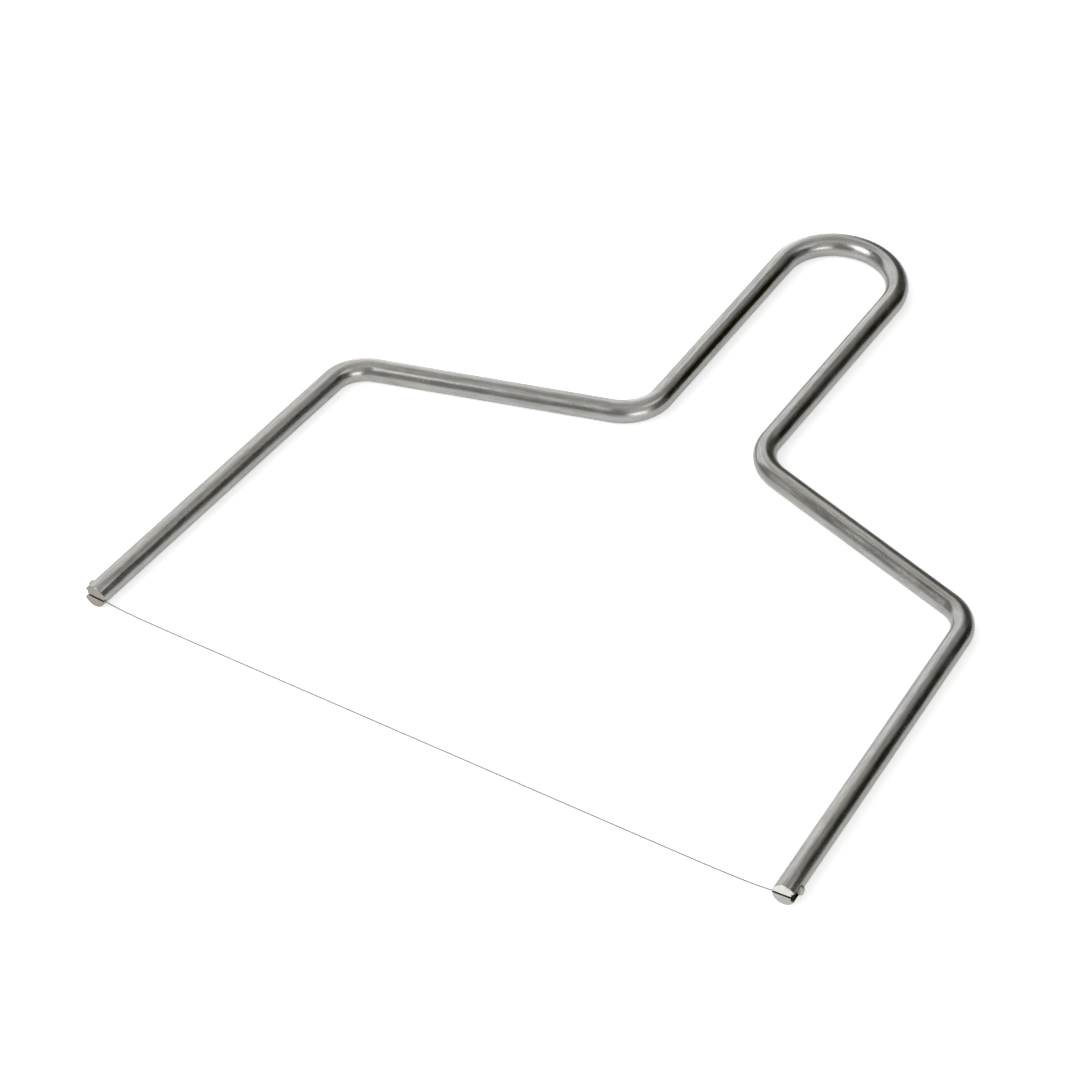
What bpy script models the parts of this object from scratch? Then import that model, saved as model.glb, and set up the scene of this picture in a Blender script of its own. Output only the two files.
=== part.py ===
"""Cheese bow cutter, bent from one steel rod, with a cutting wire between its two slotted tips.

Lengths are in metres and +Z is up. The bow lies flat on the plane Z = 0, handle towards +Y, and
its origin is the middle of its outline on that plane. The rod is a loop handle, two shoulders and
two arms. Each arm ends in a slanted saw slit, open at the end face. The wire lies in both slits
and ends in a flat-pressed steel ball on the outer side of each tip. It lifts out towards -Y when it
is changed.
"""

from math import atan2, ceil, cos, exp, pi, radians, sin, tan

import bmesh
import bpy
from mathutils import Matrix, Vector

# Rod
ROD_DIAMETER = 0.0080
NECK_BEND_RADIUS = 0.0160
SHOULDER_BEND_RADIUS = 0.0140
TIP_CHAMFER = 0.0003

# Handle, shoulders and arms, measured along the middle of the rod and to its sharp corners
HANDLE_WIDTH = 0.0420
HANDLE_LENGTH = 0.0965
SHOULDER_WIDTH = 0.2380
SHOULDER_DROP = 0.0310
ARM_LENGTH = 0.1425
ARM_SPLAY = radians(3.5)

# Wire, its ball ends, and where they sit in a tip
WIRE_DIAMETER = 0.0004
WIRE_BOW = 0.0012
WIRE_RISE_LENGTH = 0.0080
WIRE_LIP_DEPTH = 0.00035
BALL_DIAMETER = 0.0030
BALL_THICKNESS = 0.0016
BALL_PROUD = 0.0008
BALL_SETBACK = 0.0044

# Clearances, and how far a cutter passes the surface that it cuts
SLIT_SIDE_GAP = 0.0002
SEAT_GAP = 0.0003
CUT_OVERRUN = 0.0020

# Facets: sides of a round section, turn of one step of a bend, and steps along the wire
ROD_SIDES = 32
WIRE_SIDES = 8
BALL_SEGMENTS = 20
BALL_RINGS = 12
BORE_SIDES = 16
BEND_STEP = radians(7.5)
WIRE_STEPS = 40

# Sizes that follow
ROD_RADIUS = ROD_DIAMETER / 2
WIRE_RADIUS = WIRE_DIAMETER / 2
BALL_RADIUS = BALL_DIAMETER / 2
LOOP_RADIUS = HANDLE_WIDTH / 2
SHOULDER_X = SHOULDER_WIDTH / 2
TIP_X = SHOULDER_X + ARM_LENGTH * sin(ARM_SPLAY)
SHOULDER_Y = ARM_LENGTH * cos(ARM_SPLAY)
NECK_Y = SHOULDER_Y + SHOULDER_DROP
SPRING_Y = NECK_Y + HANDLE_LENGTH
LEFT, RIGHT = -1, 1


def tip_point(side, outwards, inwards):
    """A point by an arm's tip, in the bow's own plane, with Y counted from the tips.

    outwards runs square to the arm, away from the bow. inwards runs up the arm from its end face.
    """
    x = side * (TIP_X + outwards * cos(ARM_SPLAY) - inwards * sin(ARM_SPLAY))
    y = outwards * sin(ARM_SPLAY) + inwards * cos(ARM_SPLAY)
    return Vector((x, y, 0.0))


def ball_point(side):
    """The middle of a ball. Its outer flat stands BALL_PROUD out of the rod."""
    return tip_point(side, ROD_RADIUS + BALL_PROUD - BALL_THICKNESS / 2, BALL_SETBACK)


def lip_point(side):
    """Where the wire leaves the slit, on the inner side of the arm."""
    return tip_point(side, -ROD_RADIUS, WIRE_LIP_DEPTH)


# The rod has a facet underneath, so its axis stands a little less than its radius above Z = 0
AXIS_HEIGHT = ROD_RADIUS * cos(pi / ROD_SIDES)
FRONT_Y = min(lip_point(RIGHT).y - WIRE_BOW - WIRE_RADIUS, tip_point(RIGHT, -ROD_RADIUS, 0.0).y)
BACK_Y = SPRING_Y + LOOP_RADIUS + ROD_RADIUS
MIDDLE_Y = (FRONT_Y + BACK_Y) / 2
TO_PART_FRAME = Vector((0.0, -MIDDLE_Y, AXIS_HEIGHT))


def clear_scene():
    for obj in list(bpy.data.objects):
        bpy.data.objects.remove(obj, do_unlink=True)


def new_collection(name):
    collection = bpy.data.collections.new(name)
    bpy.context.scene.collection.children.link(collection)
    return collection


def steel(name, colour, roughness):
    material = bpy.data.materials.new(name)
    material.use_nodes = True
    shader = material.node_tree.nodes["Principled BSDF"]
    shader.inputs["Base Color"].default_value = (*colour, 1.0)
    shader.inputs["Metallic"].default_value = 1.0
    shader.inputs["Roughness"].default_value = roughness
    material.diffuse_color = (*colour, 1.0)
    return material


def add_part(name, data, collection, material):
    obj = bpy.data.objects.new(name, data)
    collection.objects.link(obj)
    data.materials.clear()
    data.materials.append(material)
    return obj


def add_cutter(name, mesh, collection):
    cutter = bpy.data.objects.new(name, mesh)
    collection.objects.link(cutter)
    cutter.hide_render = True
    cutter.display_type = "WIRE"
    return cutter


def subtract(obj, cutter):
    boolean = obj.modifiers.new(cutter.name, "BOOLEAN")
    boolean.operation = "DIFFERENCE"
    boolean.solver = "EXACT"
    boolean.object = cutter


def shade_smooth(mesh, sharp_angle=radians(40)):
    mesh.shade_smooth()
    mesh.set_sharp_from_angle(angle=sharp_angle)


def mesh_from(bm, name):
    mesh = bpy.data.meshes.new(name)
    bm.to_mesh(mesh)
    bm.free()
    return mesh


def tube_curve(name, points, radius, sides, shares=None):
    """A round tube along points, which lie in one plane, with a facet facing up and one down."""
    curve = bpy.data.curves.new(name, "CURVE")
    curve.dimensions = "3D"
    curve.twist_mode = "Z_UP"
    curve.bevel_depth = radius
    curve.bevel_resolution = sides // 2 - 2
    curve.use_fill_caps = True
    spline = curve.splines.new("POLY")
    spline.points.add(len(points) - 1)
    for index, point in enumerate(points):
        spline.points[index].co = (*(point + TO_PART_FRAME), 1.0)
        spline.points[index].tilt = pi / sides
        spline.points[index].radius = 1.0 if shares is None else shares[index]
    return curve


def closed_mesh(name, curve):
    """The mesh of a curve, with its end caps welded on, so that it can be cut."""
    source = bpy.data.objects.new(name + "_curve", curve)
    bpy.context.scene.collection.objects.link(source)
    depsgraph = bpy.context.evaluated_depsgraph_get()
    mesh = bpy.data.meshes.new_from_object(source.evaluated_get(depsgraph))
    mesh.name = name
    place = source.matrix_world.copy()
    bpy.data.objects.remove(source, do_unlink=True)
    bm = bmesh.new()
    bm.from_mesh(mesh)
    bmesh.ops.remove_doubles(bm, verts=bm.verts, dist=TIP_CHAMFER / 100)
    bm.to_mesh(mesh)
    bm.free()
    return mesh, place


def bend(before, corner, after, radius):
    """The points of a round bend between the straight runs before-corner and corner-after."""
    incoming = (corner - before).normalized()
    outgoing = (after - corner).normalized()
    turn = incoming.angle(outgoing)
    start = corner - incoming * radius * tan(turn / 2)
    side = (outgoing - incoming * incoming.dot(outgoing)).normalized()
    centre = start + side * radius
    steps = ceil(turn / BEND_STEP)
    angles = [turn * step / steps for step in range(steps + 1)]
    return [centre - side * radius * cos(angle) + incoming * radius * sin(angle) for angle in angles]


def rod_route():
    """The middle line of the rod from its left tip to its right one, and its share of full radius."""
    tip = tip_point(RIGHT, 0.0, 0.0)
    shoulder = Vector((SHOULDER_X, SHOULDER_Y, 0.0))
    neck = Vector((LOOP_RADIUS, NECK_Y, 0.0))
    spring = Vector((LOOP_RADIUS, SPRING_Y, 0.0))
    half = [tip, tip_point(RIGHT, 0.0, TIP_CHAMFER)]
    half += bend(tip, shoulder, neck, SHOULDER_BEND_RADIUS)
    half += bend(shoulder, neck, spring, NECK_BEND_RADIUS)
    loop_steps = ceil(pi / 2 / BEND_STEP)
    for step in range(loop_steps):
        angle = pi / 2 * step / loop_steps
        half.append(spring + Vector((LOOP_RADIUS * (cos(angle) - 1), LOOP_RADIUS * sin(angle), 0.0)))
    top = Vector((0.0, SPRING_Y + LOOP_RADIUS, 0.0))
    mirrored = [Vector((-point.x, point.y, 0.0)) for point in half]
    points = mirrored + [top] + half[::-1]
    end_share = (ROD_RADIUS - TIP_CHAMFER) / ROD_RADIUS
    shares = [end_share] + [1.0] * (len(points) - 2) + [end_share]
    return points, shares


def slit_cutter(name, side, collection):
    """A thin slab under the wire's slanted run, open past the end face and past both sides."""
    lip = lip_point(side)
    run = ball_point(side) - lip
    along = run.normalized()
    deeper = Vector((-along.y, along.x, 0.0)) * side
    length = run.length + 2 * (CUT_OVERRUN + BALL_RADIUS)
    height = BALL_SETBACK + ROD_RADIUS + CUT_OVERRUN
    floor_offset = WIRE_RADIUS + SEAT_GAP
    bm = bmesh.new()
    bmesh.ops.create_cube(bm, size=1.0)
    bmesh.ops.scale(bm, verts=bm.verts, vec=(length, height, WIRE_DIAMETER + 2 * SLIT_SIDE_GAP))
    cutter = add_cutter(name, mesh_from(bm, name), collection)
    cutter.location = lip + run / 2 + deeper * (floor_offset - height / 2) + TO_PART_FRAME
    cutter.rotation_euler.z = atan2(along.y, along.x)
    return cutter


def cut_off(bm, point, normal):
    """Takes away all that lies past a plane, and returns the flat face that closes the solid."""
    everything = bm.verts[:] + bm.edges[:] + bm.faces[:]
    result = bmesh.ops.bisect_plane(
        bm, geom=everything, plane_co=point, plane_no=normal, clear_outer=True
    )
    rim = [item for item in result["geom_cut"] if isinstance(item, bmesh.types.BMEdge)]
    return bmesh.ops.contextual_create(bm, geom=rim)["faces"][0]


def pressed_ball(gap=0.0):
    """A ball with a flat on its left and one on its right, larger by the gap all round."""
    bm = bmesh.new()
    bmesh.ops.create_uvsphere(
        bm, u_segments=BALL_SEGMENTS, v_segments=BALL_RINGS, radius=BALL_RADIUS + gap
    )
    bmesh.ops.rotate(bm, verts=bm.verts, matrix=Matrix.Rotation(pi / 2, 3, "Y"))
    for side in (LEFT, RIGHT):
        outwards = Vector((side, 0.0, 0.0))
        cut_off(bm, outwards * (BALL_THICKNESS / 2 + gap), outwards)
    return bm


def ball_channel_cutter(name, side, collection):
    """The room of a ball and of its way out towards -Y, with a gap all round."""
    bm = pressed_ball(SEAT_GAP)
    front = cut_off(bm, Vector(), Vector((0.0, -1.0, 0.0)))
    front = bmesh.ops.extrude_discrete_faces(bm, faces=[front])["faces"][0]
    reach = BALL_SETBACK + ROD_RADIUS + CUT_OVERRUN
    bmesh.ops.translate(bm, verts=front.verts, vec=(0.0, -reach, 0.0))
    bmesh.ops.recalc_face_normals(bm, faces=bm.faces)
    cutter = add_cutter(name, mesh_from(bm, name), collection)
    cutter.location = ball_point(side) + TO_PART_FRAME
    return cutter


def bow_frame(parts, cutters, material):
    points, shares = rod_route()
    curve = tube_curve("bow_frame", points, ROD_RADIUS, ROD_SIDES, shares)
    mesh, place = closed_mesh("bow_frame", curve)
    shade_smooth(mesh)
    frame = add_part("bow_frame", mesh, parts, material)
    frame.matrix_world = place
    for word, side in (("left", LEFT), ("right", RIGHT)):
        subtract(frame, slit_cutter(f"{word}_slit_cutter", side, cutters))
        subtract(frame, ball_channel_cutter(f"{word}_channel_cutter", side, cutters))
    return frame


def wire_route():
    """From ball to ball: slanted in each slit, then bowed a little away from the handle."""
    left, right = lip_point(LEFT), lip_point(RIGHT)
    points = [ball_point(LEFT)]
    for step in range(WIRE_STEPS + 1):
        x = left.x + (right.x - left.x) * (1 - cos(pi * step / WIRE_STEPS)) / 2
        left_rise = 1 - exp((left.x - x) / WIRE_RISE_LENGTH)
        right_rise = 1 - exp((x - right.x) / WIRE_RISE_LENGTH)
        points.append(Vector((x, left.y - WIRE_BOW * left_rise * right_rise, 0.0)))
    points.append(ball_point(RIGHT))
    return points


def cutting_wire(parts, material):
    curve = tube_curve("cutting_wire", wire_route(), WIRE_RADIUS, WIRE_SIDES)
    return add_part("cutting_wire", curve, parts, material)


def wire_ball(word, side, parts, cutters, material):
    """A pressed ball with a blind bore that takes the end of the wire as far as the ball's middle."""
    bm = pressed_ball()
    bmesh.ops.recalc_face_normals(bm, faces=bm.faces)
    mesh = mesh_from(bm, f"wire_ball_{word}")
    shade_smooth(mesh)
    ball = add_part(f"wire_ball_{word}", mesh, parts, material)
    ball.location = ball_point(side) + TO_PART_FRAME

    to_lip = (lip_point(side) - ball_point(side)).normalized()
    bore_length = SEAT_GAP + BALL_RADIUS + CUT_OVERRUN
    bm = bmesh.new()
    bmesh.ops.create_cone(
        bm, cap_ends=True, segments=BORE_SIDES, depth=bore_length,
        radius1=WIRE_RADIUS + SEAT_GAP, radius2=WIRE_RADIUS + SEAT_GAP,
    )
    cutter = add_cutter(f"{word}_bore_cutter", mesh_from(bm, f"{word}_bore_cutter"), cutters)
    cutter.location = ball.location + to_lip * (bore_length / 2 - SEAT_GAP)
    cutter.rotation_euler = to_lip.to_track_quat("Z", "Y").to_euler()
    subtract(ball, cutter)
    return ball


def main():
    clear_scene()
    parts = new_collection("cheese_bow_cutter")
    cutters = new_collection("cutters")
    rod_steel = steel("rod_steel", (0.56, 0.56, 0.54), 0.28)
    wire_steel = steel("wire_steel", (0.62, 0.62, 0.62), 0.35)
    ball_steel = steel("ball_steel", (0.52, 0.52, 0.50), 0.30)
    bow_frame(parts, cutters, rod_steel)
    cutting_wire(parts, wire_steel)
    wire_ball("left", LEFT, parts, cutters, ball_steel)
    wire_ball("right", RIGHT, parts, cutters, ball_steel)


main()
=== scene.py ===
# %% [markdown]
# # A cheese bow, from the imported solids to the picture
#
# A cheese bow is one steel rod, bent into a handle and two arms, with a thin wire between the tips.
# The imported model gives every size and place, in metres. This lesson adds what a customer sees:
# the smooth rod with its drawn surface, the sawn tips, the wire, its ball ends, and a white studio.
#
# Loading comes first.

from math import atan2, ceil, cos, degrees, hypot, pi, radians, sin, tan

import bpy
from mathutils import Matrix, Vector
from mathutils.kdtree import KDTree


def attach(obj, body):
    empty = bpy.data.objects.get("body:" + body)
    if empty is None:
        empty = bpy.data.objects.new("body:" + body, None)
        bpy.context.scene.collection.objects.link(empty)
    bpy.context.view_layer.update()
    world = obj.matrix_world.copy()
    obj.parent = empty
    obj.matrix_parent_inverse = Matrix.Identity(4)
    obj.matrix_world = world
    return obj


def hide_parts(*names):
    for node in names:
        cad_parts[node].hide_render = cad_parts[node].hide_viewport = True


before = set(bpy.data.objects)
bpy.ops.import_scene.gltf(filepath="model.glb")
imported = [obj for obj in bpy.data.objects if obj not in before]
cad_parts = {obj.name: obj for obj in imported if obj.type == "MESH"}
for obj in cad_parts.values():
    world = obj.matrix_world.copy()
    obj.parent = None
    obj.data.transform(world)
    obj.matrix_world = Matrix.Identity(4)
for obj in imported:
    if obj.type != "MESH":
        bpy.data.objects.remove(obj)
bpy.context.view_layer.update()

# %% [markdown]
# ## The camera
#
# The picture is taken from above the right arm, with a long lens from about two metres, so that
# the rod looks almost equally thick at both ends. A camera this far away with a short lens would
# show a small bow in a large room. The turn is given in degrees about X, Y and Z.

# %% Camera
CAMERA_PLACE = (0.694994, -1.321008, 1.322198)
CAMERA_TURN = (47.93587, -1.48503, 30.59425)
CAMERA_LENS = 199.508
SENSOR_WIDTH = 36.0

bpy.ops.object.camera_add(location=CAMERA_PLACE, rotation=[radians(turn) for turn in CAMERA_TURN])
camera = bpy.context.object
camera.name = "camera"
camera.data.lens = CAMERA_LENS
camera.data.sensor_width = SENSOR_WIDTH
bpy.context.scene.camera = camera
bpy.context.scene.view_settings.view_transform = "Standard"
print("camera is", round(Vector(CAMERA_PLACE).length, 3), "m from the middle of the bow")

# %% [markdown]
# ## A short way to write shaders
#
# A finish is a little sum: streaks times this, plus specks times that. Nodes wired by hand hide
# that sum, so a socket is wrapped in a class that overloads the signs. An expression then adds the
# Math nodes by itself. Colours and vectors need Mix and Vector Math nodes, and those, as every
# other node, come from one method that takes a type, its settings and its values or links. All
# steel here ends alike, as bare metal with a very low bump, so that has a method too.

# %% Sockets that can be added and multiplied
class Value:
    """An output socket that takes part in sums."""

    def __init__(self, finish, socket):
        self.finish = finish
        self.socket = socket

    def math(self, operation, *values):
        return self.finish.node("Math", {"operation": operation}, dict(enumerate(values)))

    def __add__(self, other):
        return self.math("ADD", self, other)

    def __sub__(self, other):
        return self.math("SUBTRACT", self, other)

    def __rsub__(self, other):
        return self.math("SUBTRACT", other, self)

    def __mul__(self, other):
        return self.math("MULTIPLY", self, other)

    __radd__ = __add__
    __rmul__ = __mul__


print("sockets can now be added, subtracted and multiplied")

# %% Finishes
BUMP_DEPTH = 0.00002
# The sockets of a Mix node that carry colours.
COLOUR_A, COLOUR_B, COLOUR_RESULT = 6, 7, 2


def opaque(colour):
    """A red, green and blue tuple gets its alpha of 1. A linked colour stays as it is."""
    return (*colour, 1.0) if isinstance(colour, tuple) else colour


class Finish:
    """A material's or the world's node tree, emptied but for its output."""

    def __init__(self, owner, output_type):
        owner.use_nodes = True
        self.owner = owner
        self.tree = owner.node_tree
        self.tree.nodes.clear()
        self.output = self.tree.nodes.new(output_type)

    def node(self, kind, settings=None, values=None, output=0):
        node = self.tree.nodes.new("ShaderNode" + kind)
        for name, setting in (settings or {}).items():
            setattr(node, name, setting)
        for place, value in (values or {}).items():
            self.plug(node, place, value)
        return Value(self, node.outputs[output])

    def plug(self, node, place, value):
        if isinstance(value, Value):
            self.tree.links.new(value.socket, node.inputs[place])
        else:
            node.inputs[place].default_value = value

    def ramp(self, factor, low, high):
        """0 where factor is below low, 1 where it is above high, and a soft step between."""
        settings = {"interpolation_type": "SMOOTHSTEP"}
        return self.node("MapRange", settings, {"Value": factor, "From Min": low, "From Max": high})

    def noise(self, place, cells, detail=2.0, roughness=0.5):
        """Noise with its own number of cells per metre along each axis."""
        spread = self.node("VectorMath", {"operation": "MULTIPLY"}, {0: place, 1: cells})
        values = {"Vector": spread, "Scale": 1.0, "Detail": detail, "Roughness": roughness}
        return self.node("TexNoise", None, values)

    def mix(self, factor, first, second):
        values = {"Factor": factor, COLOUR_A: opaque(first), COLOUR_B: opaque(second)}
        return self.node("Mix", {"data_type": "RGBA"}, values, output=COLOUR_RESULT)

    def object_place(self):
        return self.node("TexCoord", output="Object")

    def axis(self, place, letter):
        return self.node("SeparateXYZ", None, {0: place}, output=letter)

    def finish_with(self, shader):
        self.plug(self.output, "Surface", shader)
        return self.owner

    def finish_as_steel(self, colour, roughness, height, strength, depth=BUMP_DEPTH):
        bump = self.node("Bump", None, {"Strength": strength, "Distance": depth, "Height": height})
        steel = {"Base Color": colour, "Metallic": 1.0, "Roughness": roughness, "Normal": bump}
        return self.finish_with(self.node("BsdfPrincipled", None, steel))


def new_finish(name):
    return Finish(bpy.data.materials.new(name), "ShaderNodeOutputMaterial")


print("steel bumps are at most", BUMP_DEPTH * 1000, "mm deep")

# %% [markdown]
# ## Selecting in code
#
# By hand, faces are picked with the mouse. In code they are picked by a test on their place or
# their normal. Two things are easy to miss. A new object comes with everything selected, and the
# kind of selection, faces or edges, has to be set first, or the picked faces are lost again.

# %% Edit mode and selections
def pick(obj):
    """Makes an object the active one and the only one that is selected."""
    bpy.ops.object.select_all(action="DESELECT")
    obj.select_set(True)
    bpy.context.view_layer.objects.active = obj


def edit(obj):
    pick(obj)
    bpy.ops.object.mode_set(mode="EDIT")


def select_only(obj, kind, wanted):
    """Selects the faces or edges that a test wants. The object is in edit mode before and after."""
    bpy.ops.mesh.select_mode(type=kind)
    bpy.ops.mesh.select_all(action="DESELECT")
    bpy.ops.object.mode_set(mode="OBJECT")
    items = obj.data.polygons if kind == "FACE" else obj.data.edges
    for item in items:
        item.select = wanted(item)
    bpy.ops.object.mode_set(mode="EDIT")


print("faces and edges can now be picked by a test")

# %% [markdown]
# ## The white floor
#
# The bow was laid on a white sweep, so the floor has no edge in the picture. It is a plane of
# eight metres with a matt white finish. A lit floor is never exactly white all over. So it also
# shines a little, but only for the camera and for mirror rays, which lifts the lit part to white
# and still leaves the bow's soft shadow. Mirror rays also see it a little glossy where they meet it
# at a low angle, as paint is. The other rays see a plain matt floor.

# %% Floor
FLOOR_SIDE = 8.0
FLOOR_WHITE = 0.86
CAMERA_LIFT = 0.60
MIRROR_LIFT = 0.23
FLOOR_GLOSS = 0.25
FLOOR_IOR = 1.5
MOTTLE_CELLS = (9.0, 9.0, 9.0)
MOTTLE_SHARE = 0.99


def is_ray(finish, kind):
    return finish.node("LightPath", output=f"Is {kind} Ray")


def floor_finish():
    finish = new_finish("white_sweep")
    mottle = finish.noise(finish.object_place(), MOTTLE_CELLS)
    colour = finish.mix(mottle, (FLOOR_WHITE,) * 3, (FLOOR_WHITE * MOTTLE_SHARE,) * 3)
    matt = finish.node("BsdfDiffuse", None, {"Color": colour})
    mirrored = is_ray(finish, "Glossy") + is_ray(finish, "Transmission")
    lift = is_ray(finish, "Camera") * CAMERA_LIFT + mirrored * MIRROR_LIFT
    glow = finish.node("MixShader", None, {0: lift, 2: finish.node("Emission")})
    white = finish.node("AddShader", None, {0: matt, 1: glow})
    satin = finish.node("BsdfGlossy", None, {"Roughness": FLOOR_GLOSS})
    grazing = mirrored * finish.node("Fresnel", None, {"IOR": FLOOR_IOR})
    return finish.finish_with(finish.node("MixShader", None, {0: grazing, 1: white, 2: satin}))


bpy.ops.mesh.primitive_plane_add(size=FLOOR_SIDE)
floor = bpy.context.object
floor.name = "floor"
floor.data.materials.append(floor_finish())
print("floor", FLOOR_SIDE, "m wide")

# %% [markdown]
# ## Light from all round
#
# The room beyond the floor is the world. For what is seen directly it is white at strength 1, so
# the floor meets it without a line. For diffuse light it is a plain grey, which lights the bow
# softly from everywhere.

# %% World
ROOM_GREY = 0.94

bpy.context.scene.world = bpy.data.worlds.new("studio")
world = Finish(bpy.context.scene.world, "ShaderNodeOutputWorld")
seen = is_ray(world, "Camera") + is_ray(world, "Glossy") + is_ray(world, "Transmission")
grey_room = world.node("Background", None, {"Color": opaque((ROOM_GREY,) * 3)})
white_room = world.node("Background", None, {"Color": opaque((1.0,) * 3)})
world.finish_with(world.node("MixShader", None, {0: seen, 1: grey_room, 2: white_room}))
print("room grey", ROOM_GREY)

# %% [markdown]
# ## Soft boxes and a set of cards
#
# Polished steel has hardly a look of its own: it shows the room. A bow in an all white room is
# all white, and its round form is lost. So a photographer stands black and grey cards round it.
# Their mirror images are the dark and grey lines that run along the rod.
#
# Directions are easy to name by compass: azimuth 0 looks over the handle, 90 to the right.
# Elevation is the angle above the floor. Each card is a strip of a round screen. It is only there
# for mirror rays, so it casts no shadow and no camera sees it. Dark cloth is never quite neutral,
# so the darker a card is, the more it leans to brown. One more screen, the flag, is there only for
# diffuse rays. It holds the room's light back from one side, so the floor behind the rod is darker
# than the floor before it, and that difference shows on the underside of the steel.

# %% Directions
def towards(azimuth, elevation, distance=1.0):
    """A point in a compass direction from the middle of the bow, angles in degrees."""
    across, up = radians(azimuth), radians(elevation)
    level = distance * cos(up)
    return Vector((level * sin(across), level * cos(across), distance * sin(up)))


print("azimuth 90 points along", [round(value, 3) for value in towards(90.0, 0.0)])

# %% Soft boxes
BOX_DISTANCE = 1.6
BOXES = (
    # name, azimuth, elevation, width, height, brightness of its face
    ("key_box", -151.5, 39.0, 0.80, 0.92, 2.0),
    ("side_box", 117.0, 8.0, 0.90, 0.74, 1.6),
    ("low_box", -36.0, 4.5, 0.30, 0.27, 1.2),
)

for name, azimuth, elevation, width, height, face in BOXES:
    place = towards(azimuth, elevation, BOX_DISTANCE)
    turn = place.to_track_quat("Z", "Y").to_euler()
    bpy.ops.object.light_add(type="AREA", location=place, rotation=turn)
    box = bpy.context.object
    box.name = name
    box.data.shape = "RECTANGLE"
    box.data.size, box.data.size_y = width, height
    box.data.energy = face * pi * width * height
    box.visible_camera = False
    print(name, round(box.data.energy, 1), "W")

# %% Cards
SCREEN_SIDES = 180
CARDS = (
    # name, azimuth from and to, elevation from and to, distance, grey
    ("black_card", 24.0, 52.0, -2.0, 34.0, 1.9, 0.01),
    ("deep_card", -10.0, 24.0, 14.0, 40.0, 1.95, 0.065),
    ("dark_card", -22.0, 88.0, -2.0, 43.0, 2.0, 0.12),
    ("right_card", 88.0, 138.0, -2.0, 62.0, 2.0, 0.58),
    ("left_card", -137.0, -94.0, -2.0, 62.0, 2.0, 0.22),
    ("low_rear_card", 138.0, 186.0, -2.0, 34.0, 2.0, 0.28),
    ("rear_card", 138.0, 176.0, 34.0, 70.0, 2.0, 0.27),
    ("high_card", -14.0, 42.0, 43.0, 62.0, 2.1, 0.42),
    ("high_left_card", -90.0, -14.0, 44.0, 62.0, 2.1, 0.70),
)
FLAG = ("flag", -20.0, 115.0, -2.0, 72.0, 2.2, 0.03)
CEILING_SIDE, CEILING_HEIGHT, CEILING_GREY = 3.0, 2.9, 0.54
GREEN_SHARE, BLUE_SHARE, BROWN = 0.98, 0.95, 0.008
print("greys of the cards", [grey for *_, grey in CARDS])

# %% Put up the cards
def azimuth_of(point):
    return degrees(atan2(point.x, point.y))


def card_finish(name, grey):
    finish = new_finish(name)
    colour = (grey, GREEN_SHARE * grey, max(0.0, BLUE_SHARE * grey - BROWN))
    return finish.finish_with(finish.node("Emission", None, {"Color": opaque(colour)}))


def round_card(name, left, right, bottom, top, distance, grey):
    low, high = distance * tan(radians(bottom)), distance * tan(radians(top))
    bpy.ops.mesh.primitive_cylinder_add(
        vertices=SCREEN_SIDES, radius=distance, depth=high - low, end_fill_type="NOTHING",
        location=(0.0, 0.0, (low + high) / 2))
    card = bpy.context.object
    card.name = name
    bpy.ops.object.transform_apply(location=True)
    edit(card)
    select_only(card, "FACE", lambda face: (azimuth_of(face.center) - left) % 360.0 > right - left)
    bpy.ops.mesh.delete(type="FACE")
    bpy.ops.object.mode_set(mode="OBJECT")
    card.data.materials.append(card_finish(name, grey))
    return card


def show_only_to(card, mirrors):
    card.visible_camera = card.visible_shadow = False
    card.visible_glossy, card.visible_diffuse = mirrors, not mirrors


for description in CARDS:
    show_only_to(round_card(*description), mirrors=True)
show_only_to(round_card(*FLAG), mirrors=False)

bpy.ops.mesh.primitive_plane_add(size=CEILING_SIDE, location=(0.0, 0.0, CEILING_HEIGHT))
ceiling = bpy.context.object
ceiling.name = "ceiling_card"
bpy.ops.object.transform_apply(location=True)
ceiling.data.materials.append(card_finish(ceiling.name, CEILING_GREY))
show_only_to(ceiling, mirrors=True)
print(len(CARDS) + 1, "cards and a flag")

# %% [markdown]
# ## The bent rod
#
# The real frame is one drawn rod of 8 mm, bent on a round former at five places: both shoulders'
# ends, both necks and the loop. It could be a curve with a round bevel, but the bender's own steps
# are just as short: hold the cut end, run straight, turn about the former, run again. A filled
# circle is the cut end. Extrude is the straight run and Spin is the former. The newest end stays
# selected all the way from tip to tip.
#
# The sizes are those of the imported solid. Its rod has flat facets, and this one is round, so it is
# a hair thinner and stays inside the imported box. The stretch next to each tip is a run of its own,
# so the cuts that come later divide only short faces.

# %% Sizes of the rod
ROD_RADIUS = 0.0039807
AXIS_HEIGHT = ROD_RADIUS
SHOULDER_BEND, NECK_BEND, LOOP_RADIUS = 0.014, 0.016, 0.021
SHOULDER_X, SHOULDER_DROP = 0.119, 0.031
ARM_LENGTH, ARM_SPLAY = 0.1425, radians(3.5)
HANDLE_LENGTH = 0.0965
TIP_Y = -0.1467197
ROD_SIDES = 96
BEND_STEP = radians(2.5)
TIP_STRETCH = 0.012
LINE_SPACING = 0.0005

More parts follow.
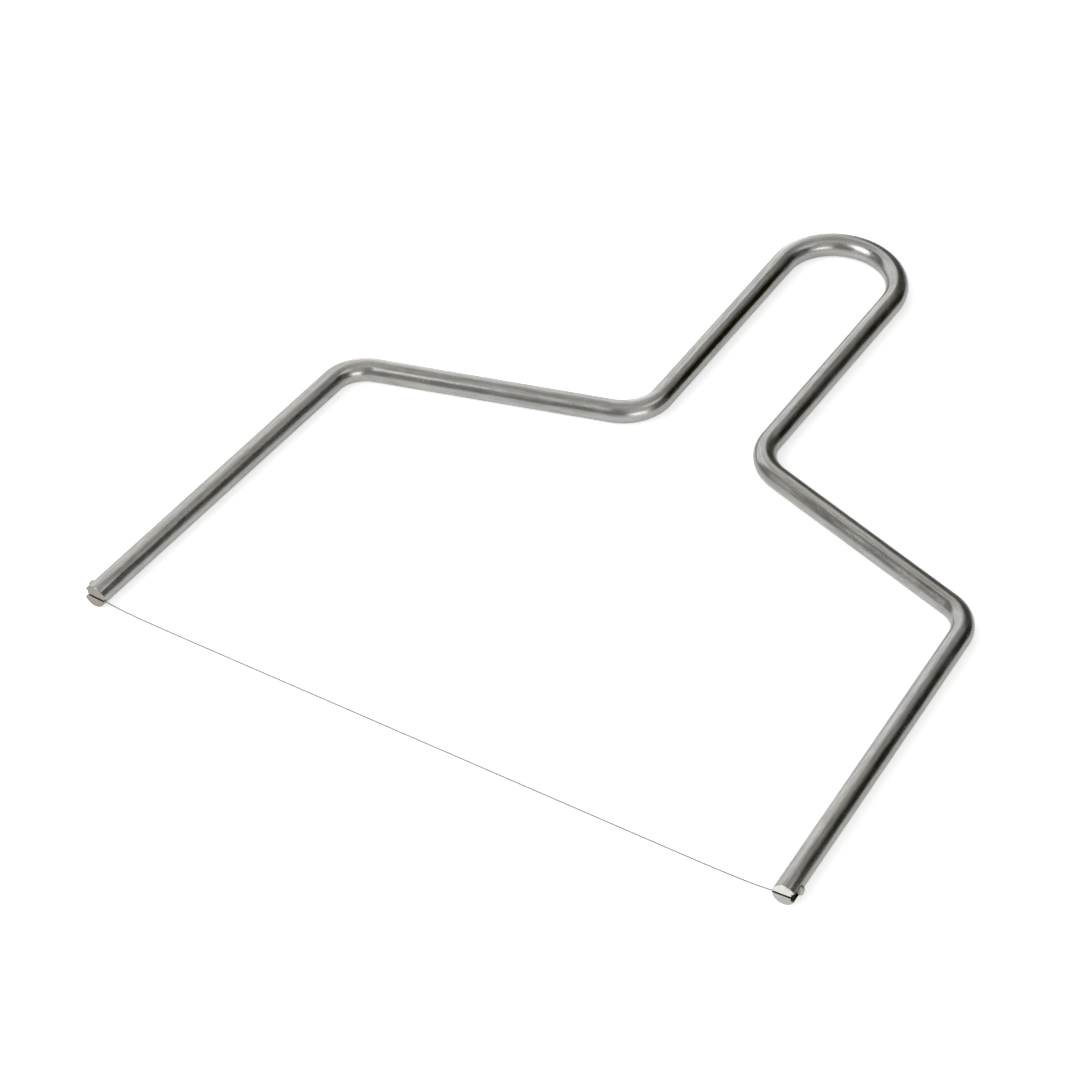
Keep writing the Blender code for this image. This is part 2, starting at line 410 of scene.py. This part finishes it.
TIP_X = SHOULDER_X + ARM_LENGTH * sin(ARM_SPLAY)
shoulder_rise = (SHOULDER_DROP, SHOULDER_X - LOOP_RADIUS)
shoulder_heading = pi - Vector(shoulder_rise).angle(Vector((0.0, 1.0)))
arm_heading = pi / 2 + ARM_SPLAY
shoulder_turn = shoulder_heading - arm_heading
neck_turn = pi / 2 - shoulder_heading
shoulder_tangent = SHOULDER_BEND * tan(shoulder_turn / 2)
neck_tangent = NECK_BEND * tan(-neck_turn / 2)
arm_run = ARM_LENGTH - shoulder_tangent
shoulder_run = hypot(*shoulder_rise) - shoulder_tangent - neck_tangent
leg_run = HANDLE_LENGTH - neck_tangent
print("turns", round(degrees(shoulder_turn), 2), round(degrees(neck_turn), 2))

# %% Steps of the bender
HALF_ROD = [
    ("run", TIP_STRETCH, 0.0), ("run", arm_run - TIP_STRETCH, 0.0),
    ("bend", shoulder_turn, SHOULDER_BEND), ("run", shoulder_run, 0.0),
    ("bend", neck_turn, NECK_BEND), ("run", leg_run, 0.0),
]
ROD_STEPS = HALF_ROD + [("bend", pi, LOOP_RADIUS)] + HALF_ROD[::-1]
START = Vector((TIP_X, TIP_Y, AXIS_HEIGHT))
UPWARDS = (0.0, 0.0, 1.0)


def direction(heading):
    return Vector((cos(heading), sin(heading), 0.0))


def bend_centre(place, heading, turn, radius):
    return place + direction(heading + (pi / 2 if turn > 0 else -pi / 2)) * radius


def step_end(place, heading, step, share=1.0):
    """Where a share of a step ends, and which way the rod then points."""
    action, amount, radius = step
    if action == "run":
        return place + direction(heading) * amount * share, heading
    centre = bend_centre(place, heading, amount, radius)
    turn = Matrix.Rotation(amount * share, 3, "Z")
    return centre + turn @ (place - centre), heading + amount * share


def middle_line():
    """Points along the rod's middle with their distance from the right tip and their heading."""
    place, heading, length, points = START.copy(), arm_heading, 0.0, []
    for step in ROD_STEPS:
        action, amount, radius = step
        span = amount if action == "run" else abs(amount) * radius
        count = ceil(span / LINE_SPACING)
        for index in range(count):
            point, turned = step_end(place, heading, step, index / count)
            points.append((point, length + span * index / count, turned))
        place, heading = step_end(place, heading, step)
        length += span
    points.append((place, length, heading))
    return points


print(len(ROD_STEPS), "steps, of which", sum(step[0] == "bend" for step in ROD_STEPS), "bends")

# %% Bend the rod
bpy.ops.mesh.primitive_circle_add(
    vertices=ROD_SIDES, radius=ROD_RADIUS, fill_type="NGON", location=START,
    rotation=(-pi / 2, 0.0, ARM_SPLAY))
rod = bpy.context.object
rod.name = "rod"
bpy.ops.object.transform_apply(location=True, rotation=True)
edit(rod)
bpy.ops.mesh.select_all(action="SELECT")
place, heading = START.copy(), arm_heading
for step in ROD_STEPS:
    action, amount, radius = step
    if action == "run":
        move = {"value": direction(heading) * amount}
        bpy.ops.mesh.extrude_region_move(TRANSFORM_OT_translate=move)
    else:
        bpy.ops.mesh.spin(
            steps=ceil(abs(amount) / BEND_STEP), angle=-amount,
            center=bend_centre(place, heading, amount, radius), axis=UPWARDS)
    place, heading = step_end(place, heading, step)
bpy.ops.object.mode_set(mode="OBJECT")
print("rod ends at", [round(value * 1000, 2) for value in place], "mm")
print(len(rod.data.polygons), "faces")

# %% [markdown]
# ## Clean ends
#
# The rod is sawn square and its rims are broken with a file. A bevel on the two rim loops does the
# same. Extrude and Spin can leave faces looking inwards, so doubles are merged and the normals
# recalculated before anything is cut.

# %% Break the rims
TIP_ROUNDING, TIP_ROUNDING_SEGMENTS = 0.0003, 4
SAME_POINT = 1e-6


def merge_doubles(obj):
    """Leaves the object in edit mode, with everything selected."""
    edit(obj)
    bpy.ops.mesh.select_all(action="SELECT")
    bpy.ops.mesh.remove_doubles(threshold=SAME_POINT)


merge_doubles(rod)
bpy.ops.mesh.normals_make_consistent(inside=False)
select_only(rod, "FACE", lambda face: len(face.vertices) == ROD_SIDES)
bpy.ops.mesh.region_to_loop()
bpy.ops.mesh.bevel(offset=TIP_ROUNDING, segments=TIP_ROUNDING_SEGMENTS)
bpy.ops.object.mode_set(mode="OBJECT")
print("after the file:", len(rod.data.polygons), "faces")

# %% [markdown]
# ## The saw slit and the ball's channel
#
# Each tip has a slanted saw slit, open at the end face. It holds the wire, which runs from a ball
# on the outer side to the lip on the inner side. Round the ball the slit opens into a shallow
# channel, so that the ball can be pushed in from the front. Both are cut away with Booleans: a thin
# slab for the saw blade, and for the channel a larger copy of the ball, drawn out to the front.
# A cut can leave two points in one place, so doubles are merged again and open edges counted.

# %% Where the wire lies in a tip
WIRE_RADIUS, BALL_RADIUS, BALL_THICKNESS = 0.0002, 0.0015, 0.0016
FULL_ROD_RADIUS = 0.0040
BALL_PROUD, BALL_SETBACK, LIP_DEPTH = 0.0008, 0.0044, 0.00035
SLIT_SIDE_GAP, SEAT_GAP, OVERRUN = 0.0002, 0.0003, 0.0020
SIDES = {"left": -1, "right": 1}


def tip_point(side, outwards, inwards):
    """A point by a tip: outwards is square to the arm, inwards runs up the arm from its end."""
    x = TIP_X + outwards * cos(ARM_SPLAY) - inwards * sin(ARM_SPLAY)
    y = outwards * sin(ARM_SPLAY) + inwards * cos(ARM_SPLAY)
    return Vector((side * x, y + TIP_Y, AXIS_HEIGHT))


def ball_point(side):
    return tip_point(side, FULL_ROD_RADIUS + BALL_PROUD - BALL_THICKNESS / 2, BALL_SETBACK)


def lip_point(side):
    return tip_point(side, -FULL_ROD_RADIUS, LIP_DEPTH)


print("balls at", [tuple(round(v * 1000, 2) for v in ball_point(side)) for side in SIDES.values()])

# %% Saw blade
def cut(piece, cutter):
    """Takes the cutter out of the piece and throws the cutter away."""
    pick(piece)
    boolean = piece.modifiers.new("cut", "BOOLEAN")
    boolean.operation, boolean.solver, boolean.object = "DIFFERENCE", "EXACT", cutter
    bpy.ops.object.modifier_apply(modifier="cut")
    bpy.data.objects.remove(cutter, do_unlink=True)


def saw_blade(side):
    lip, run = lip_point(side), ball_point(side) - lip_point(side)
    along = run.normalized()
    deeper = Vector((-along.y, along.x, 0.0)) * side
    height = BALL_SETBACK + FULL_ROD_RADIUS + OVERRUN
    middle = lip + run / 2 + deeper * (WIRE_RADIUS + SEAT_GAP - height / 2)
    bpy.ops.mesh.primitive_cube_add(
        size=1.0, location=middle, rotation=(0.0, 0.0, atan2(along.y, along.x)),
        scale=(run.length + 2 * (OVERRUN + BALL_RADIUS), height, 2 * (WIRE_RADIUS + SLIT_SIDE_GAP)))
    return bpy.context.object


print("the slit is", 2000 * (WIRE_RADIUS + SLIT_SIDE_GAP), "mm wide")

# %% Pressed ball and channel
BALL_SEGMENTS, BALL_RINGS = 64, 16


def cut_flat(point, normal):
    """In edit mode: takes away what lies past a plane. The closing face is left selected.

    Bisect takes points within its threshold as lying on the plane, and a ball is only 3 mm wide.
    """
    bpy.ops.mesh.select_all(action="SELECT")
    bpy.ops.mesh.bisect(
        plane_co=point, plane_no=normal, use_fill=True, clear_outer=True, threshold=SAME_POINT)


def pressed_ball(side, gap=0.0):
    """A ball with a flat on its left and one on its right, larger by the gap all round."""
    middle = ball_point(side)
    bpy.ops.mesh.primitive_uv_sphere_add(
        segments=BALL_SEGMENTS, ring_count=BALL_RINGS, radius=BALL_RADIUS + gap, location=middle,
        rotation=(0.0, pi / 2, 0.0))
    piece = bpy.context.object
    bpy.ops.object.transform_apply(location=True, rotation=True)
    edit(piece)
    for way in SIDES.values():
        outwards = Vector((way, 0.0, 0.0))
        cut_flat(middle + outwards * (BALL_THICKNESS / 2 + gap), outwards)
    return piece


def channel_bar(side):
    reach = BALL_SETBACK + FULL_ROD_RADIUS + OVERRUN
    bar = pressed_ball(side, SEAT_GAP)
    cut_flat(ball_point(side), (0.0, -1.0, 0.0))
    bpy.ops.mesh.select_mode(type="FACE")
    bpy.ops.mesh.extrude_region_move(TRANSFORM_OT_translate={"value": (0.0, -reach, 0.0)})
    bpy.ops.mesh.select_all(action="SELECT")
    bpy.ops.mesh.normals_make_consistent(inside=False)
    bpy.ops.object.mode_set(mode="OBJECT")
    return bar


print("the channel is", 2000 * (BALL_RADIUS + SEAT_GAP), "mm high")

# %% Cut both tips
for word, side in SIDES.items():
    cut(rod, saw_blade(side))
    cut(rod, channel_bar(side))
    print(word, "tip cut,", len(rod.data.polygons), "faces")

merge_doubles(rod)
bpy.ops.mesh.select_mode(type="EDGE")
bpy.ops.mesh.select_all(action="DESELECT")
bpy.ops.mesh.select_non_manifold()
bpy.ops.object.mode_set(mode="OBJECT")
print("edges without two faces", sum(edge.select for edge in rod.data.edges))

# %% [markdown]
# ## A map along the rod
#
# Drawing lines run along the rod and follow it round each bend, so no straight axis can carry them.
# Each vertex is therefore given its place on the rod: how far it is from the right tip, and where
# it lies in the round section. The nearest point of the middle line gives both.

# %% Place on the rod
ROD_PLACE = "rod_place"

line = middle_line()
rod_length = line[-1][1]
finder = KDTree(len(line))
for index, (point, _, _) in enumerate(line):
    finder.insert(point, index)
finder.balance()


def nearest_middle(point):
    """A point's offset from the middle line, and the length and heading of the line there."""
    _, index, _ = finder.find(point)
    middle, length, heading = line[index]
    return point - middle, length, heading


def rod_place(point):
    offset, length, heading = nearest_middle(point)
    across = offset.dot(direction(heading + pi / 2))
    return (length + offset.dot(direction(heading)), across, offset.z)


layer = rod.data.attributes.new(ROD_PLACE, "FLOAT_VECTOR", "POINT")
for vertex in rod.data.vertices:
    layer.data[vertex.index].vector = rod_place(vertex.co)
print("rod is", round(rod_length * 1000, 1), "mm long")

# %% [markdown]
# ## Drawn and polished steel
#
# Such rod is pulled through a die, which leaves fine lines along it, and is then polished. Up close
# the polish is uneven: long bands, shallow dents, slow waves, dull patches and a few tiny pits. So
# the same marks steer three things: a little of the colour, more of the roughness, and a very low
# bump. The noise is stretched, so the finest lines are a fraction of a millimetre across and
# centimetres along. The left leg of the handle shines more cleanly than the rest, so the steel is
# made smoother there, with a soft change at both ends.

# %% Steel of the rod
STEEL_LIGHT, STEEL_WARM, STEEL_DARK = (0.56, 0.562, 0.56), (0.57, 0.56, 0.53), (0.41, 0.405, 0.39)
ROD_NOISES = {
    # cells per metre along and across the rod, detail, roughness
    "lines": (26.0, 4200.0, 3.0, 0.5),
    "bands": (45.0, 1100.0, 1.0, 0.5),
    "dents": (230.0, 750.0, 1.0, 0.5),
    "waves": (45.0, 130.0, 1.0, 0.5),
    "patches": (80.0, 300.0, 4.0, 0.6),
    "tints": (55.0, 170.0, 2.0, 0.5),
    "pits": (1100.0, 1100.0, 1.0, 0.5),
}
# Where a noise begins to show as a tint, a pit or a light shade, and where it shows fully.
TINT_STEP, PIT_STEP, SHADE_STEP = (0.36, 0.64), (0.73, 0.79), (0.36, 0.62)
LEG_SMOOTHING, LEG_FADE = 0.4, 0.015

leg_start = arm_run + shoulder_turn * SHOULDER_BEND + shoulder_run - neck_turn * NECK_BEND
LEFT_LEG = (rod_length - leg_start - leg_run, rod_length - leg_start)


def place_on_rod(finish):
    return finish.node("Attribute", {"attribute_name": ROD_PLACE}, output="Vector")


def rod_finish():
    finish = new_finish("drawn_steel")
    place = place_on_rod(finish)
    length = finish.axis(place, "X")
    lines, bands, dents, waves, patches, tints, pits = (
        finish.noise(place, (along, across, across), detail, roughness)
        for along, across, detail, roughness in ROD_NOISES.values())
    tints, pits = finish.ramp(tints, *TINT_STEP), finish.ramp(pits, *PIT_STEP)
    smoother = finish.ramp(length, LEFT_LEG[0], LEFT_LEG[0] + LEG_FADE)
    smoother = smoother - finish.ramp(length, LEFT_LEG[1] - LEG_FADE, LEFT_LEG[1])
    streaks = lines * 0.3 + bands * 0.7
    shade = finish.ramp(streaks * 0.5 + patches * 0.3 + dents * 0.2 - pits * 0.2, *SHADE_STEP)
    colour = finish.mix(shade, STEEL_DARK, finish.mix(tints, STEEL_LIGHT, STEEL_WARM))
    dullness = (0.03 + 0.12 * streaks + 0.28 * patches) * (1.0 - LEG_SMOOTHING * smoother)
    height = lines * 0.2 + bands * 1.1 + dents * 1.6 + waves * 5.0 - pits * 0.8
    return finish.finish_as_steel(colour, dullness + 0.15 * pits, height, strength=0.6)


print("left leg is", [round(end * 1000, 1) for end in LEFT_LEG], "mm along the rod")

# %% [markdown]
# ## Sawn faces
#
# The end faces and the walls of the slit were cut, not drawn. They get a finish of their own, with
# the saw's fine parallel marks. No two cuts on this bow look the same: the left face is duller and
# a little warm, and on the right one the part above the slit shines more than the part below it.
# Shade is painted into the slit and the channel: a face gets darker with its depth behind the end.

# %% Steel of the cuts
LEFT_CUT, UPPER_CUT, LOWER_CUT = (0.40, 0.372, 0.335), (0.86, 0.85, 0.80), (0.56, 0.55, 0.52)
# The painted shade in the slit and the channel: its colour, and where it starts and is full behind
# the end.
PAINTED_SLIT_SHADE = (0.045, 0.040, 0.034)
PAINTED_SLIT_SHADE_DEPTHS = (0.0001, 0.0008)
SAW_CELLS, STAIN_CELLS = (500.0, 500.0, 9000.0), (700.0, 700.0, 700.0)


def cut_finish():
    finish = new_finish("sawn_steel")
    place = finish.object_place()
    length = finish.axis(place_on_rod(finish), "X")
    depth = length.math("MINIMUM", length, rod_length - length)
    marks = finish.noise(place, SAW_CELLS)
    stains = finish.noise(place, STAIN_CELLS, detail=3.0)
    above_slit = finish.ramp(
        finish.axis(place, "Z"), AXIS_HEIGHT - WIRE_RADIUS, AXIS_HEIGHT + WIRE_RADIUS)
    to_the_right = finish.ramp(finish.axis(place, "X"), -TIP_X, TIP_X)
    clean = finish.mix(to_the_right, LEFT_CUT, finish.mix(above_slit, LOWER_CUT, UPPER_CUT))
    wear = 0.8 + 0.2 * marks + 0.2 * stains
    worn = finish.node("VectorMath", {"operation": "SCALE"}, {0: clean, "Scale": wear})
    # Painted shade: the deeper a cut face lies behind the end, the darker it is.
    colour = finish.mix(finish.ramp(depth, *PAINTED_SLIT_SHADE_DEPTHS), worn, PAINTED_SLIT_SHADE)
    return finish.finish_as_steel(colour, 0.30 + 0.15 * stains, marks, strength=0.5)


print("painted_slit_shade starts and is full", [depth * 1000 for depth in PAINTED_SLIT_SHADE_DEPTHS], "mm behind the end")

# %% Put both on the rod
DRAWN_SHARE = 0.8
SMOOTH_ANGLE = radians(35)


def outwards_at(point):
    """The way from the rod's middle to a point of its surface."""
    offset, _, heading = nearest_middle(point)
    across = direction(heading + pi / 2)
    return (across * offset.dot(across) + Vector((0.0, 0.0, offset.z))).normalized()


rod.data.materials.append(rod_finish())
rod.data.materials.append(cut_finish())
for face in rod.data.polygons:
    drawn = face.normal.dot(outwards_at(face.center)) > DRAWN_SHARE
    face.material_index = 0 if drawn else 1
pick(rod)
bpy.ops.object.shade_smooth_by_angle(angle=SMOOTH_ANGLE)
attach(rod, "bow")
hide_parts("bow_frame")
print("cut faces", sum(face.material_index for face in rod.data.polygons))

# %% [markdown]
# ## The ball ends
#
# A ball is pressed on each end of the wire, which leaves it with two flats. Its outer flat faces
# away from the bow, and its bore faces the slit. The rims of the flats are rolled over a little, so
# they get a small bevel, and the bore is cut with a thin bar.

# %% Balls
RIM_ROLL, RIM_ROLL_SEGMENTS = 0.00015, 3
RIM_TOLERANCE = BALL_THICKNESS / 1000
BORE_SIDES = 32
BALL_DARK, BALL_LIGHT = (0.50, 0.49, 0.46), (0.66, 0.65, 0.61)
BALL_CELLS = (2400.0, 2400.0, 2400.0)


def ball(word, side):
    middle, lip = ball_point(side), lip_point(side)
    piece = pressed_ball(side)
    piece.name = f"{word}_ball"

    def on_rim(edge):
        ends = [piece.data.vertices[index].co - middle for index in edge.vertices]
        return all(abs(abs(end.x) - BALL_THICKNESS / 2) < RIM_TOLERANCE for end in ends)

    select_only(piece, "EDGE", on_rim)
    bpy.ops.mesh.bevel(offset=RIM_ROLL, segments=RIM_ROLL_SEGMENTS)
    bpy.ops.object.mode_set(mode="OBJECT")
    along = (lip - middle).normalized()
    bore = SEAT_GAP + BALL_RADIUS + OVERRUN
    bpy.ops.mesh.primitive_cylinder_add(
        vertices=BORE_SIDES, radius=WIRE_RADIUS + SEAT_GAP, depth=bore,
        location=middle + along * (bore / 2 - SEAT_GAP),
        rotation=along.to_track_quat("Z", "Y").to_euler())
    cut(piece, bpy.context.object)
    bpy.ops.object.shade_smooth_by_angle(angle=SMOOTH_ANGLE)
    return piece


def ball_finish():
    finish = new_finish("pressed_steel")
    grain = finish.noise(finish.object_place(), BALL_CELLS, detail=3.0)
    colour = finish.mix(grain, BALL_DARK, BALL_LIGHT)
    return finish.finish_as_steel(colour, 0.34 + 0.16 * grain, grain, strength=0.3)


pressed_steel = ball_finish()
for word, side in SIDES.items():
    piece = ball(word, side)
    piece.data.materials.append(pressed_steel)
    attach(piece, "wire_set")
    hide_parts(f"wire_ball_{word}")
    print(piece.name, len(piece.data.polygons), "faces")

# %% [markdown]
# ## The wire
#
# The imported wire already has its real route, from ball to ball. Only its finish is new: hard drawn
# wire is satin, darker than the polished rod, and a little duller in places.

# %% Steel of the wire
WIRE_DARK, WIRE_LIGHT = (0.20, 0.20, 0.195), (0.30, 0.30, 0.295)
WIRE_CELLS = (160.0, 2500.0, 2500.0)


def wire_finish():
    finish = new_finish("hard_drawn_wire")
    wear = finish.noise(finish.object_place(), WIRE_CELLS, detail=3.0)
    colour = finish.mix(wear, WIRE_DARK, WIRE_LIGHT)
    return finish.finish_as_steel(
        colour, 0.40 + 0.16 * wear, wear, strength=0.2, depth=BUMP_DEPTH / 2)


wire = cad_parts["cutting_wire"]
wire.data.materials.clear()
wire.data.materials.append(wire_finish())
print("wire finish on", wire.name)
